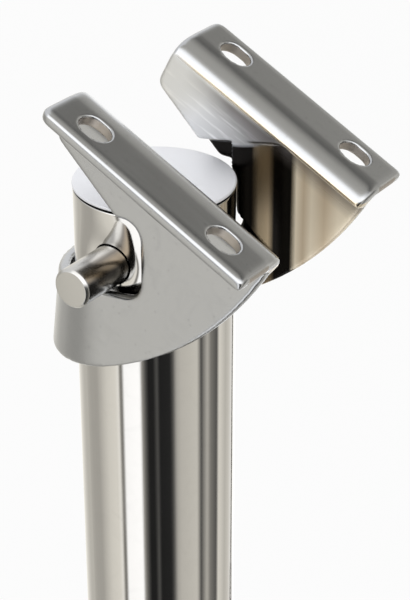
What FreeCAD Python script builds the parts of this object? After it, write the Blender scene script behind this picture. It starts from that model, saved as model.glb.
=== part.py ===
import FreeCAD, Part
import math
import os

import Sketcher

# Telescopic boarding ladder with two stiles, three sections and three treads.
# The row frame: Z is the normal of the saddles' bolting faces, X runs along their flanges
# towards the side that the ladder swings out to, Y runs along the pivot pins.
# The origin is the centre of all eight bolt slots, on the bolting plane.
# The ladder frame: its origin is on the pivot axis and its Z runs up the stiles.

os.makedirs("parts", exist_ok=True)
doc = FreeCAD.newDocument("BoardingLadder")

SIZES = {
    # Layout of the whole ladder
    "stile_pitch": 270.0,
    "deploy_lean": 28.0,
    "pivot_offset": 4.1,
    "pivot_drop": 30.0,
    # Cast saddle
    "flange_length": 49.2,
    "flange_half_width": 28.9,
    "flange_thick": 2.7,
    "saddle_wall": 2.5,
    "bore_clearance": 0.4,
    "bend_radius": 3.5,
    "root_radius": 1.5,
    "flange_corner": 2.2,
    "sole_radius": 72.3,
    "shoulder_depth": 11.4,
    "shoulder_corner": 2.4,
    "mouth_reach": 4.2,
    "mouth_rise": 12.4,
    "notch_reach": 9.7,
    "notch_roof": 12.6,
    "notch_roof_radius": 3.6,
    "notch_seat_radius": 4.0,
    "rim_fall": 6.0,
    "edge_break": 0.4,
    # Bolt slots in the flanges
    "slot_pitch": 31.4,
    "slot_row": 23.2,
    "slot_radius": 2.75,
    "slot_span": 6.8,
    # Pivot pin
    "pin_radius": 4.0,
    "pin_half_length": 27.4,
    "pin_chamfer": 0.5,
    "pin_fit": 0.02,
    "pin_seat_gap": 0.25,
    # Head cap
    "cap_rise": 12.6,
    "cap_thick": 1.6,
    "cap_overhang": 0.25,
    "cap_edge": 0.4,
    "cap_spigot": 5.0,
    "plug_fit": 0.03,
    # Stile tubes
    "upper_radius": 16.0,
    "upper_wall": 1.5,
    "middle_radius": 12.5,
    "middle_wall": 1.2,
    "lower_radius": 9.5,
    "lower_wall": 1.2,
    "upper_reach": 300.0,
    "middle_length": 300.0,
    "lower_length": 300.0,
    # Guide bushes in the tube mouths and slide rings on the tube heads
    "bush_sleeve": 25.0,
    "bush_lip": 3.0,
    "bush_brim": 0.8,
    "bush_edge": 0.8,
    "slide_gap": 0.3,
    "ring_length": 15.0,
    "ring_cover": 2.0,
    "ring_lip": 1.0,
    "stop_gap": 0.3,
    "tube_fit": 0.02,
    # Treads and their pads
    "tread_depth": 50.0,
    "tread_skirt": 20.0,
    "tread_sheet": 1.6,
    "tread_bend": 4.0,
    "tread_rise": 8.0,
    "weld_gap": 0.04,
    "pad_depth": 40.0,
    "pad_base": 2.0,
    "pad_end_gap": 9.0,
    "rib_height": 1.2,
    "rib_width": 2.0,
    "rib_pitch": 4.5,
    "rib_count": 9.0,
    # Rubber feet
    "foot_wall": 2.6,
    "foot_sole": 5.0,
    "foot_cup": 18.0,
    "foot_edge": 1.6,
}

sheet = doc.addObject("Spreadsheet::Sheet", "Sizes")
for row, (alias, size) in enumerate(SIZES.items(), start=1):
    sheet.set(f"A{row}", alias.replace("_", " "))
    sheet.set(f"B{row}", str(size))
    sheet.setAlias(f"B{row}", alias)
doc.recompute()

NEGLIGIBLE = 1e-7
SHARP_TURN = math.radians(20)
THROUGH = "(4 * Sizes.flange_half_width)"


def value(text):
    """The number that an expression on the sheet gives now."""
    return float(sheet.evalExpression(text.replace("Sizes.", "")))


def bind(target, prop, text):
    """Tie one property to an expression on the sheet."""
    target.setExpression(prop, text)


def new_body(name):
    """A named piece, modelled about its own origin."""
    body = doc.addObject("PartDesign::Body", name)
    body.Label = name
    return body


def place_on_deck(body, side):
    """Put a saddle on the bolting plane, on one side of the centre line."""
    bind(body, "Placement.Base.y", f"{side} * Sizes.stile_pitch / 2")


def place_on_ladder(body, side=0):
    """Lean a piece with the ladder about the pivot axis, on a stile or on the centre line."""
    body.Placement.Rotation = FreeCAD.Rotation(FreeCAD.Vector(0, -1, 0), SIZES["deploy_lean"])
    bind(body, "Placement.Rotation.Angle", "Sizes.deploy_lean * 1 deg")
    bind(body, "Placement.Base.x", "-Sizes.pivot_offset")
    bind(body, "Placement.Base.y", f"{side} * Sizes.stile_pitch / 2")
    bind(body, "Placement.Base.z", "-Sizes.pivot_drop")


def new_sketch(body, role):
    """A sketch flat on one of the body's own origin planes."""
    sketch = body.newObject("Sketcher::SketchObject", "Sketch")
    planes = {feature.Role: feature for feature in body.Origin.OriginFeatures}
    sketch.AttachmentSupport = [(planes[role], "")]
    sketch.MapMode = "FlatFace"
    return sketch


def pin_point(sketch, curve, end, x, y):
    """Hold one end of a curve at two expressions, or on an axis where one is nothing."""
    for kind, text, axis in (("DistanceX", x, -2), ("DistanceY", y, -1)):
        size = value(text)
        if abs(size) < NEGLIGIBLE:
            sketch.addConstraint(Sketcher.Constraint("PointOnObject", curve, end, axis))
            continue
        index = sketch.addConstraint(Sketcher.Constraint(kind, -1, 1, curve, end, size))
        bind(sketch, f"Constraints[{index}]", text)


def arc_between(start, finish, radius, turn):
    """The arc from start to finish that turns left (1) or right (-1), and whether it runs backwards."""
    chord = finish - start
    rise = math.sqrt(max(radius ** 2 - (chord.Length / 2) ** 2, 0.0))
    normal = FreeCAD.Vector(-chord.y, chord.x, 0).normalize()
    centre = (start + finish) * 0.5 + normal * rise * turn
    first, last = (start, finish) if turn > 0 else (finish, start)
    angle_first = math.atan2(first.y - centre.y, first.x - centre.x)
    angle_last = math.atan2(last.y - centre.y, last.x - centre.x)
    circle = Part.Circle(centre, FreeCAD.Vector(0, 0, 1), radius)
    return Part.ArcOfCircle(circle, angle_first, angle_last), turn < 0


def outline(sketch, corners):
    """A closed outline. A corner is (x, y), or (x, y, radius, turn) where an arc leaves it."""
    base = sketch.GeometryCount
    points = [FreeCAD.Vector(value(corner[0]), value(corner[1]), 0) for corner in corners]
    ends = []
    radii = []
    for index, corner in enumerate(corners):
        start = points[index]
        finish = points[(index + 1) % len(points)]
        if len(corner) == 2:
            sketch.addGeometry(Part.LineSegment(start, finish))
            ends.append((1, 2))
            continue
        curve, backwards = arc_between(start, finish, value(corner[2]), corner[3])
        sketch.addGeometry(curve)
        ends.append((2, 1) if backwards else (1, 2))
        radii.append((base + index, corner[2]))
    for index in range(len(points)):
        follower = (index + 1) % len(points)
        joint = (base + index, ends[index][1], base + follower, ends[follower][0])
        sketch.addConstraint(Sketcher.Constraint("Coincident", *joint))
    for index, corner in enumerate(corners):
        pin_point(sketch, base + index, ends[index][0], corner[0], corner[1])
    for curve, text in radii:
        index = sketch.addConstraint(Sketcher.Constraint("Radius", curve, value(text)))
        bind(sketch, f"Constraints[{index}]", text)


def round_outline(sketch, x, y, radius):
    """A full circle at a place given by expressions."""
    centre = FreeCAD.Vector(value(x), value(y), 0)
    curve = sketch.addGeometry(Part.Circle(centre, FreeCAD.Vector(0, 0, 1), value(radius)))
    pin_point(sketch, curve, 3, x, y)
    index = sketch.addConstraint(Sketcher.Constraint("Radius", curve, value(radius)))
    bind(sketch, f"Constraints[{index}]", radius)


def extrude(body, kind, sketch, length, side="One side", backwards=False):
    """A Pad or Pocket of a sketch, with its length tied to the sheet."""
    feature = body.newObject(f"PartDesign::{kind}", kind)
    feature.Profile = sketch
    feature.SideType = side
    feature.Reversed = backwards
    feature.Length = value(length)
    bind(feature, "Length", length)
    return feature


def turn_about(body, sketch, axis="V_Axis"):
    """A solid of revolution about an axis of its sketch."""
    feature = body.newObject("PartDesign::Revolution", "Revolution")
    feature.Profile = sketch
    feature.ReferenceAxis = (sketch, [axis])
    feature.Angle = 360
    return feature


def soften(body, radius, wanted, kind="Fillet"):
    """Round or chamfer the edges of the body's solid that a test picks out."""
    doc.recompute()
    base = body.Tip
    edges = base.Shape.Edges
    names = [f"Edge{index + 1}" for index, edge in enumerate(edges) if wanted(edge)]
    if not names:
        raise RuntimeError(f"{body.Label}: no edge to soften")
    feature = body.newObject(f"PartDesign::{kind}", kind)
    feature.Base = (base, names)
    prop = "Radius" if kind == "Fillet" else "Size"
    setattr(feature, prop, value(radius))
    bind(feature, prop, radius)
    return feature


def runs_along(edge, direction):
    """Whether an edge is straight and parallel to a direction."""
    if edge.Curve.TypeId != "Part::GeomLine":
        return False
    return abs(abs(edge.Curve.Direction.dot(direction)) - 1) < NEGLIGIBLE


def near(edge, x=None, y=None, z=None, slack=0.01):
    """Whether an edge's middle lies at the given coordinates, y counted without its sign."""
    middle = edge.valueAt((edge.FirstParameter + edge.LastParameter) / 2)
    tests = ((x, middle.x), (y, abs(middle.y)), (z, middle.z))
    return all(wanted is None or abs(wanted - found) < slack for wanted, found in tests)


def is_sharp(shape, edge):
    """Whether the two faces that meet at an edge turn by more than a blend would."""
    middle = edge.valueAt((edge.FirstParameter + edge.LastParameter) / 2)
    faces = shape.ancestorsOfType(edge, Part.Face)
    if len(faces) != 2:
        return False
    normals = [face.normalAt(*face.Surface.parameter(middle)) for face in faces]
    return normals[0].getAngle(normals[1]) > SHARP_TURN


# Cast saddle

ALONG_X = FreeCAD.Vector(1, 0, 0)
ALONG_Y = FreeCAD.Vector(0, 1, 0)
ALONG_Z = FreeCAD.Vector(0, 0, 1)
INNER = "(Sizes.upper_radius + Sizes.bore_clearance)"
OUTER = f"({INNER} + Sizes.saddle_wall)"
LEAN = "(Sizes.deploy_lean * 1 deg)"
SEAT = "(Sizes.pin_radius + Sizes.pin_seat_gap)"
FALL = "(Sizes.rim_fall * 1 deg)"
BEYOND = "(2 * Sizes.flange_length)"


def from_pivot(across, up):
    """Saddle coordinates of a point given across and up the leaning stile from the pivot."""
    x = f"-Sizes.pivot_offset + ({across}) * cos({LEAN}) - ({up}) * sin({LEAN})"
    z = f"-Sizes.pivot_drop + ({across}) * sin({LEAN}) + ({up}) * cos({LEAN})"
    return x, z


def seat_height(across):
    """Height up the stile of the line that carries the pin: the notch's seat and the collar's rim."""
    return f"(-{SEAT} / cos({FALL}) + ({across}) * tan({FALL}))"


def saddle_hat(body):
    """The hat section along X: two flanges, their bends and two straight walls."""
    sketch = new_sketch(body, "YZ_Plane")
    bend = "Sizes.bend_radius"
    root = "Sizes.root_radius"
    edge = "Sizes.flange_half_width"
    under = "-Sizes.flange_thick"
    deep = "-Sizes.sole_radius"
    outline(sketch, [
        (INNER, deep),
        (OUTER, deep),
        (OUTER, f"{under} - {root}", root, -1),
        (f"{OUTER} + {root}", under),
        (edge, under),
        (edge, "0"),
        (f"{INNER} + {bend}", "0", bend, 1),
        (INNER, f"-{bend}"),
    ])
    outline(sketch, [
        (f"-{INNER}", deep),
        (f"-{INNER}", f"-{bend}", bend, 1),
        (f"-{INNER} - {bend}", "0"),
        (f"-{edge}", "0"),
        (f"-{edge}", under),
        (f"-{OUTER} - {root}", under, root, -1),
        (f"-{OUTER}", f"{under} - {root}"),
        (f"-{OUTER}", deep),
    ])
    extrude(body, "Pad", sketch, "Sizes.flange_length", "Symmetric")


def saddle_jaw(body):
    """Cut the walls to the shoulder and the pin's notch, and back to the stile's axis below it."""
    sketch = new_sketch(body, "XZ_Plane")
    outline(sketch, [
        (f"-{BEYOND}", "-Sizes.shoulder_depth"),
        (f"-{BEYOND}", f"-{BEYOND}"),
        from_pivot("0", f"-{BEYOND}"),
        from_pivot("0", seat_height("0")),
        from_pivot("Sizes.notch_reach", seat_height("Sizes.notch_reach")),
        from_pivot("Sizes.notch_reach", "Sizes.notch_roof"),
        from_pivot("Sizes.mouth_reach", "Sizes.mouth_rise"),
        ("-Sizes.flange_length / 2", "-Sizes.shoulder_depth"),
    ])
    extrude(body, "Pocket", sketch, THROUGH, "Symmetric")


def saddle_collar(body):
    """The half round collar behind the stile, cut to its falling rim."""
    ring = new_sketch(body, "XY_Plane")
    ring.AttachmentOffset.Rotation = FreeCAD.Rotation(FreeCAD.Vector(0, -1, 0), SIZES["deploy_lean"])
    bind(ring, "AttachmentOffset.Rotation.Angle", "Sizes.deploy_lean * 1 deg")
    bind(ring, "AttachmentOffset.Base.x", "-Sizes.pivot_offset")
    bind(ring, "AttachmentOffset.Base.z", "-Sizes.pivot_drop")
    outline(ring, [
        ("0", OUTER, OUTER, 1),
        (f"-{OUTER}", "0", OUTER, 1),
        ("0", f"-{OUTER}"),
        ("0", f"-{INNER}", INNER, -1),
        (f"-{INNER}", "0", INNER, -1),
        ("0", INNER),
    ])
    extrude(body, "Pad", ring, BEYOND, backwards=True)
    rim = new_sketch(body, "XZ_Plane")
    outline(rim, [
        from_pivot("0", seat_height("0")),
        from_pivot("0", "Sizes.pin_radius"),
        from_pivot(f"-{BEYOND}", "Sizes.pin_radius"),
        from_pivot(f"-{BEYOND}", seat_height(f"-{BEYOND}")),
    ])
    extrude(body, "Pocket", rim, THROUGH, "Symmetric")


def saddle_sole(body):
    """Cut walls and collar to one large arc that starts square to the flanges' front end."""
    sketch = new_sketch(body, "XZ_Plane")
    around = "2 * Sizes.sole_radius"
    outline(sketch, [
        (f"-{around}", around),
        (f"-{around}", f"-{around}"),
        (around, f"-{around}"),
        (around, around),
    ])
    round_outline(sketch, "Sizes.flange_length / 2 - Sizes.sole_radius", "0", "Sizes.sole_radius")
    extrude(body, "Pocket", sketch, THROUGH, "Symmetric")


def saddle_corners(body):
    """Round the flanges' corners, the shoulder and the notch's two inner corners."""
    width = value("Sizes.flange_half_width")
    soften(body, "Sizes.flange_corner", lambda edge: runs_along(edge, ALONG_Z) and near(edge, y=width))
    for place, radius in (
        (("-Sizes.flange_length / 2", "-Sizes.shoulder_depth"), "Sizes.shoulder_corner"),
        (from_pivot("Sizes.notch_reach", "Sizes.notch_roof"), "Sizes.notch_roof_radius"),
        (from_pivot("Sizes.notch_reach", seat_height("Sizes.notch_reach")), "Sizes.notch_seat_radius"),
    ):
        x, z = (value(text) for text in place)
        soften(body, radius, lambda edge: runs_along(edge, ALONG_Y) and near(edge, x=x, z=z))


def slot_outline(sketch, x, y):
    """One slot along X with round ends, at a place given by expressions."""
    run = "(Sizes.slot_span / 2 - Sizes.slot_radius)"
    end = "(Sizes.slot_span / 2)"
    radius = "Sizes.slot_radius"
    outline(sketch, [
        (f"{x} - {run}", f"{y} - {radius}"),
        (f"{x} + {run}", f"{y} - {radius}", radius, 1),
        (f"{x} + {end}", y, radius, 1),
        (f"{x} + {run}", f"{y} + {radius}"),
        (f"{x} - {run}", f"{y} + {radius}", radius, 1),
        (f"{x} - {end}", y, radius, 1),
    ])


def saddle_slots(body):
    """Two bolt slots through each flange."""
    sketch = new_sketch(body, "XY_Plane")
    for along in (-1, 1):
        for across in (-1, 1):
            slot_outline(sketch, f"{along} * Sizes.slot_pitch / 2", f"{across} * Sizes.slot_row")
    extrude(body, "Pocket", sketch, "2 * Sizes.flange_thick + 2", "Symmetric")


def make_saddle(name, side):
    """One cast saddle with its flanges, notches and collar."""
    body = new_body(name)
    saddle_hat(body)
    saddle_jaw(body)
    saddle_collar(body)
    saddle_sole(body)
    saddle_corners(body)
    saddle_slots(body)
    soften(body, "Sizes.edge_break", lambda edge: is_sharp(body.Tip.Shape, edge), "Chamfer")
    place_on_deck(body, side)


# Pivot pin and head cap

def make_pin(name, side):
    """The cross pin fixed through the stile's head, chamfered at both ends."""
    body = new_body(name)
    sketch = new_sketch(body, "XY_Plane")
    shank = "Sizes.pin_radius"
    face = "Sizes.pin_radius - Sizes.pin_chamfer"
    half = "Sizes.pin_half_length"
    outline(sketch, [
        ("0", f"-{half}"),
        (face, f"-{half}"),
        (shank, f"-{half} + Sizes.pin_chamfer"),
        (shank, f"{half} - Sizes.pin_chamfer"),
        (face, half),
        ("0", half),
    ])
    turn_about(body, sketch)
    place_on_ladder(body, side)


def make_cap(name, side):
    """The flat cap that closes the stile's head, with its spigot in the tube."""
    body = new_body(name)
    sketch = new_sketch(body, "XZ_Plane")
    brim = "Sizes.upper_radius + Sizes.cap_overhang"
    spigot = "Sizes.upper_radius - Sizes.upper_wall - Sizes.plug_fit"
    seat = "Sizes.cap_rise - Sizes.cap_thick"
    outline(sketch, [
        ("0", f"{seat} - Sizes.cap_spigot"),
        (spigot, f"{seat} - Sizes.cap_spigot"),
        (spigot, seat),
        (brim, seat),
        (brim, "Sizes.cap_rise - Sizes.cap_edge"),
        (f"{brim} - Sizes.cap_edge", "Sizes.cap_rise"),
        ("0", "Sizes.cap_rise"),
    ])
    turn_about(body, sketch)
    place_on_ladder(body, side)


# Stile tubes: heights are counted up the stile from the pivot

UPPER_MOUTH = "(-Sizes.upper_reach)"
STOP = "(Sizes.bush_sleeve + Sizes.stop_gap + Sizes.ring_length)"
MIDDLE_HEAD = f"({UPPER_MOUTH} + {STOP})"
MIDDLE_MOUTH = f"({MIDDLE_HEAD} - Sizes.ring_lip - Sizes.middle_length)"
LOWER_HEAD = f"({MIDDLE_MOUTH} + {STOP})"
LOWER_END = f"({LOWER_HEAD} - Sizes.ring_lip - Sizes.lower_length)"


def make_tube(name, side, radius, wall, top, bottom, pinned=False):
    """A stile tube between two heights, drilled across for the pin where it is pinned."""
    body = new_body(name)
    sketch = new_sketch(body, "XZ_Plane")
    bore = f"{radius} - {wall}"
    outline(sketch, [(bore, bottom), (radius, bottom), (radius, top), (bore, top)])
    turn_about(body, sketch)
    if pinned:
        drill = new_sketch(body, "XZ_Plane")
        round_outline(drill, "0", "0", "Sizes.pin_radius + Sizes.pin_fit")
        extrude(body, "Pocket", drill, "4 * Sizes.upper_radius", "Symmetric")
    place_on_ladder(body, side)


def make_bush(name, side, outer, wall, inner, mouth):
    """The guide bush in a tube's mouth: a sleeve inside and a brim over the tube's end."""
    body = new_body(name)
    sketch = new_sketch(body, "XZ_Plane")
    hole = f"{inner} + Sizes.slide_gap"
    sleeve = f"{outer} - {wall} - Sizes.tube_fit"
    brim = f"{outer} + Sizes.bush_brim"
    outline(sketch, [
        (hole, f"{mouth} - Sizes.bush_lip"),
        (f"{brim} - Sizes.bush_edge", f"{mouth} - Sizes.bush_lip"),
        (brim, f"{mouth} - Sizes.bush_lip + Sizes.bush_edge"),
        (brim, mouth),
        (sleeve, mouth),
        (sleeve, f"{mouth} + Sizes.bush_sleeve"),
        (hole, f"{mouth} + Sizes.bush_sleeve"),
    ])
    turn_about(body, sketch)
    place_on_ladder(body, side)


def make_ring(name, side, tube, tube_wall, guide, guide_wall, head):
    """The slide ring on a tube's head: it guides the tube and stops on the bush below."""
    body = new_body(name)
    sketch = new_sketch(body, "XZ_Plane")
    outside = f"{guide} - {guide_wall} - Sizes.slide_gap"
    inside = f"{tube} + Sizes.tube_fit"
    lip = f"{tube} - {tube_wall}"
    outline(sketch, [
        (inside, f"{head} - Sizes.ring_length"),
        (outside, f"{head} - Sizes.ring_length"),
        (outside, f"{head} - Sizes.ring_cover / 2"),
        (f"{outside} - Sizes.ring_cover / 2", head),
        (lip, head),
        (lip, f"{head} - Sizes.ring_lip"),
        (inside, f"{head} - Sizes.ring_lip"),
    ])
    turn_about(body, sketch)
    place_on_ladder(body, side)


def make_foot(name, side):
    """The rubber foot over the lowest tube's end."""
    body = new_body(name)
    sketch = new_sketch(body, "XZ_Plane")
    outside = "Sizes.lower_radius + Sizes.foot_wall"
    inside = "Sizes.lower_radius + Sizes.tube_fit"
    outline(sketch, [
        ("0", f"{LOWER_END} - Sizes.foot_sole"),
        (f"{outside} - Sizes.foot_edge", f"{LOWER_END} - Sizes.foot_sole"),
        (outside, f"{LOWER_END} - Sizes.foot_sole + Sizes.foot_edge"),
        (outside, f"{LOWER_END} + Sizes.foot_cup"),
        (inside, f"{LOWER_END} + Sizes.foot_cup"),
        (inside, LOWER_END),
        ("0", LOWER_END),
    ])
    turn_about(body, sketch)
    place_on_ladder(body, side)


# Treads: folded channels, coped round the stiles and welded to them

def make_tread(name, radius, mouth):
    """A folded channel between the stiles, its top a set height above the tube's mouth."""
    body = new_body(name)
    sketch = new_sketch(body, "XZ_Plane")
    half = "(Sizes.tread_depth / 2)"
    top = f"({mouth} + Sizes.tread_rise + Sizes.tread_skirt)"
    foot = f"({mouth} + Sizes.tread_rise)"
    bend = "Sizes.tread_bend"
    inside = "(Sizes.tread_bend - Sizes.tread_sheet)"
    outline(sketch, [
        (f"-{half}", foot),
        (f"-{half} + Sizes.tread_sheet", foot),
        (f"-{half} + Sizes.tread_sheet", f"{top} - {bend}", inside, -1),
        (f"-{half} + {bend}", f"{top} - Sizes.tread_sheet"),
        (f"{half} - {bend}", f"{top} - Sizes.tread_sheet", inside, -1),
        (f"{half} - Sizes.tread_sheet", f"{top} - {bend}"),
        (f"{half} - Sizes.tread_sheet", foot),
        (half, foot),
        (half, f"{top} - {bend}", bend, 1),
        (f"{half} - {bend}", top),
        (f"-{half} + {bend}", top, bend, 1),
        (f"-{half}", f"{top} - {bend}"),
    ])
    extrude(body, "Pad", sketch, "Sizes.stile_pitch", "Symmetric")
    cope = new_sketch(body, "XY_Plane")
    for side in (-1, 1):
        round_outline(cope, "0", f"{side} * Sizes.stile_pitch / 2", f"{radius} + Sizes.weld_gap")
    extrude(body, "Pocket", cope, f"-3 * {mouth}", "Symmetric")
    place_on_ladder(body)


def make_pad(name, radius, mouth):
    """The ribbed rubber pad on a tread's top."""
    body = new_body(name)
    top = f"({mouth} + Sizes.tread_rise + Sizes.tread_skirt)"
    length = f"Sizes.stile_pitch - 2 * ({radius} + Sizes.pad_end_gap)"
    half = "(Sizes.pad_depth / 2)"
    base = new_sketch(body, "XZ_Plane")
    outline(base, [
        (f"-{half}", top),
        (half, top),
        (half, f"{top} + Sizes.pad_base"),
        (f"-{half}", f"{top} + Sizes.pad_base"),
    ])
    extrude(body, "Pad", base, length, "Symmetric")
    rib = new_sketch(body, "XZ_Plane")
    start = "(-(Sizes.rib_count - 1) / 2 * Sizes.rib_pitch)"
    foot = f"{top} + Sizes.pad_base / 2"
    crest = f"{top} + Sizes.pad_base + Sizes.rib_height"
    outline(rib, [
        (f"{start} - Sizes.rib_width / 2", foot),
        (f"{start} + Sizes.rib_width / 2", foot),
        (f"{start} + Sizes.rib_width / 4", crest),
        (f"{start} - Sizes.rib_width / 4", crest),
    ])
    ridge = extrude(body, "Pad", rib, length, "Symmetric")
    repeat = body.newObject("PartDesign::LinearPattern", "Ribs")
    repeat.Originals = [ridge]
    repeat.Direction = (rib, ["H_Axis"])
    bind(repeat, "Length", "(Sizes.rib_count - 1) * Sizes.rib_pitch")
    bind(repeat, "Occurrences", "Sizes.rib_count")
    body.Tip = repeat
    place_on_ladder(body)


# Assembly

UPPER = ("Sizes.upper_radius", "Sizes.upper_wall")
MIDDLE = ("Sizes.middle_radius", "Sizes.middle_wall")
LOWER = ("Sizes.lower_radius", "Sizes.lower_wall")

for hand, side in (("left", -1), ("right", 1)):
    make_saddle(f"saddle_{hand}", side)
    make_pin(f"pivot_pin_{hand}", side)
    make_cap(f"head_cap_{hand}", side)
    make_tube(f"upper_tube_{hand}", side, *UPPER, "(Sizes.cap_rise - Sizes.cap_thick)", UPPER_MOUTH, True)
    make_bush(f"upper_guide_bush_{hand}", side, *UPPER, MIDDLE[0], UPPER_MOUTH)
    make_ring(f"middle_slide_ring_{hand}", side, *MIDDLE, *UPPER, MIDDLE_HEAD)
    make_tube(f"middle_tube_{hand}", side, *MIDDLE, f"({MIDDLE_HEAD} - Sizes.ring_lip)", MIDDLE_MOUTH)
    make_bush(f"middle_guide_bush_{hand}", side, *MIDDLE, LOWER[0], MIDDLE_MOUTH)
    make_ring(f"lower_slide_ring_{hand}", side, *LOWER, *MIDDLE, LOWER_HEAD)
    make_tube(f"lower_tube_{hand}", side, *LOWER, f"({LOWER_HEAD} - Sizes.ring_lip)", LOWER_END)
    make_foot(f"foot_{hand}", side)

for level, radius, mouth in (
    ("upper", UPPER[0], UPPER_MOUTH),
    ("middle", MIDDLE[0], MIDDLE_MOUTH),
    ("lower", LOWER[0], f"({LOWER_END} + Sizes.foot_cup)"),
):
    make_tread(f"{level}_tread", radius, mouth)
    make_pad(f"{level}_tread_pad", radius, mouth)

doc.recompute()

for item in doc.Objects:
    if "Invalid" in item.State or "Error" in item.State:
        raise RuntimeError(f"{item.Label} failed: {item.State}")

bodies = [item for item in doc.Objects if item.TypeId == "PartDesign::Body"]
for body in bodies:
    if body.Shape.isNull() or not body.Shape.isValid():
        raise RuntimeError(f"{body.Label} has no valid shape")
    if len(body.Shape.Solids) != 1:
        raise RuntimeError(f"{body.Label} has {len(body.Shape.Solids)} solids")
for body in bodies:
    body.Shape.exportStep(f"parts/{body.Label}.step")
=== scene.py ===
import logging
import math
from dataclasses import dataclass, field
from enum import Enum

import bmesh
import bpy
import numpy as np
from mathutils import Matrix, Vector


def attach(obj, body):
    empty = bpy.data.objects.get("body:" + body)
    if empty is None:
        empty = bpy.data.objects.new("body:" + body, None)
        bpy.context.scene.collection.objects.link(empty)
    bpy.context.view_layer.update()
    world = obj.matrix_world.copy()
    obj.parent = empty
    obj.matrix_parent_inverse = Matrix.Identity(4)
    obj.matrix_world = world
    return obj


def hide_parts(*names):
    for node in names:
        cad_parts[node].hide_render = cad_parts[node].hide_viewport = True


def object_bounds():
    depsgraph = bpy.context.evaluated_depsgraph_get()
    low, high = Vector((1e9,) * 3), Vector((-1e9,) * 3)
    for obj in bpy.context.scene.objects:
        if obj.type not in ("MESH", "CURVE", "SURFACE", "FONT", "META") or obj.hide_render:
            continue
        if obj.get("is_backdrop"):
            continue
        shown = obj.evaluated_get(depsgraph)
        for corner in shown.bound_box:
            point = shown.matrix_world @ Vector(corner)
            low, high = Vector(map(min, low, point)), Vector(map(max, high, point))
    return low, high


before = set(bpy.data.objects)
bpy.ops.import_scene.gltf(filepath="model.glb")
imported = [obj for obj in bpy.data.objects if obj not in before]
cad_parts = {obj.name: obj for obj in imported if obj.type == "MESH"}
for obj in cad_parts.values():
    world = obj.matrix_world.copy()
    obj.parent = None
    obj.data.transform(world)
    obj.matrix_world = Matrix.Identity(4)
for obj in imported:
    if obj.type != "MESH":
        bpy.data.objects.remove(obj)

LOG = logging.getLogger("boarding_ladder")
MM = 0.001
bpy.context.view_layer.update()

Pair = tuple[float, float]
Triple = tuple[float, float, float]
Faces = list[list[int]]
Levels = tuple[Pair, ...]
Stripes = tuple[tuple[float, Triple], ...]
Zone = tuple[tuple[str, float, float], ...]
Socket = bpy.types.NodeSocket
Material = bpy.types.Material
Piece = bpy.types.Object


# Places

class Stile(Enum):
    """The two stiles, each with the side of the centre line that it stands on."""

    LEFT = -1
    RIGHT = 1

    @property
    def hand(self) -> str:
        """The ending of the names of this stile's nodes."""
        return self.name.lower()


@dataclass(frozen=True)
class Layout:
    """Where the ladder hangs: lean in degrees, the rest in millimetres.

    Ladder coordinates (a, y, s) are in millimetres from the pivot: a in front of the stile and
    square to it, y along the pins and s up the stile.
    """

    lean: float = 28.0
    pivot_x: float = -4.1
    pivot_z: float = -30.0
    pitch: float = 270.0

    @property
    def axes(self) -> np.ndarray:
        """Unit vectors of a, y and s in the row's frame, as rows."""
        turn = math.radians(self.lean)
        front = [math.cos(turn), 0.0, math.sin(turn)]
        return np.array([front, [0.0, 1.0, 0.0], [-front[2], 0.0, front[0]]])

    def pivot(self, across: float = 0.0) -> np.ndarray:
        """The pivot at a distance from the centre line, in the row's frame."""
        return np.array([self.pivot_x, across, self.pivot_z])

    def to_row(self, points: np.ndarray, across: float = 0.0) -> np.ndarray:
        """Turn ladder coordinates of shape (n, 3) into the row's, in metres: the pivot plus a A + y Y + s S."""
        return (points @ self.axes + self.pivot(across)) * MM

    def from_row(self, points: np.ndarray, across: float = 0.0) -> np.ndarray:
        """Turn the row's coordinates, in metres, into the ladder's, which undoes to_row."""
        return (points / MM - self.pivot(across)) @ self.axes.T

    def stile(self, stile: Stile) -> float:
        """Distance of a stile's axis from the centre line, in millimetres."""
        return stile.value * self.pitch / 2


LAYOUT = Layout()


# Surfaces

def share(measure: np.ndarray, ends: Pair) -> np.ndarray:
    """The share of a range that a measure has gone through, kept between 0 and 1."""
    return np.clip((measure - ends[0]) / (ends[1] - ends[0]), 0, 1)


def step(measure: np.ndarray, ends: Pair) -> np.ndarray:
    """The smooth step t^2 (3 - 2 t) of a measure over a range."""
    part = share(measure, ends)
    return part * part * (3 - 2 * part)


def rounded(corners: list[Triple], steps: int, closed: bool = True) -> np.ndarray:
    """Round the corners of a flat outline.

    Each corner with a radius is replaced by points on the circle that touches both of its
    sides: centre = corner + unit bisector * radius / sin(half angle).

    Args:
        corners: (x, y, radius) for each corner.
        steps: spans of each rounding.
        closed: whether the last corner joins the first.

    Returns:
        Array of shape (n, 2).
    """
    flat = np.array([corner[:2] for corner in corners], float)
    rows = []
    count = len(corners)
    for index, (_, _, radius) in enumerate(corners):
        here = flat[index]
        inner = closed or 0 < index < count - 1
        if radius <= 0 or not inner:
            rows.append(here[None, :])
            continue
        back = flat[index - 1] - here
        ahead = flat[(index + 1) % count] - here
        back /= np.linalg.norm(back)
        ahead /= np.linalg.norm(ahead)
        half = math.acos(float(np.clip(back @ ahead, -1, 1))) / 2
        centre = here + (back + ahead) / np.linalg.norm(back + ahead) * radius / math.sin(half)
        reach = radius / math.tan(half)
        start, finish = here + back * reach - centre, here + ahead * reach - centre
        first = math.atan2(start[1], start[0])
        sweep = math.atan2(finish[1], finish[0]) - first
        sweep = (sweep + math.pi) % (2 * math.pi) - math.pi
        angle = first + sweep * np.linspace(0, 1, steps + 1)
        rows.append(centre + radius * np.stack([np.cos(angle), np.sin(angle)], axis=1))
    return np.concatenate(rows)


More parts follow.
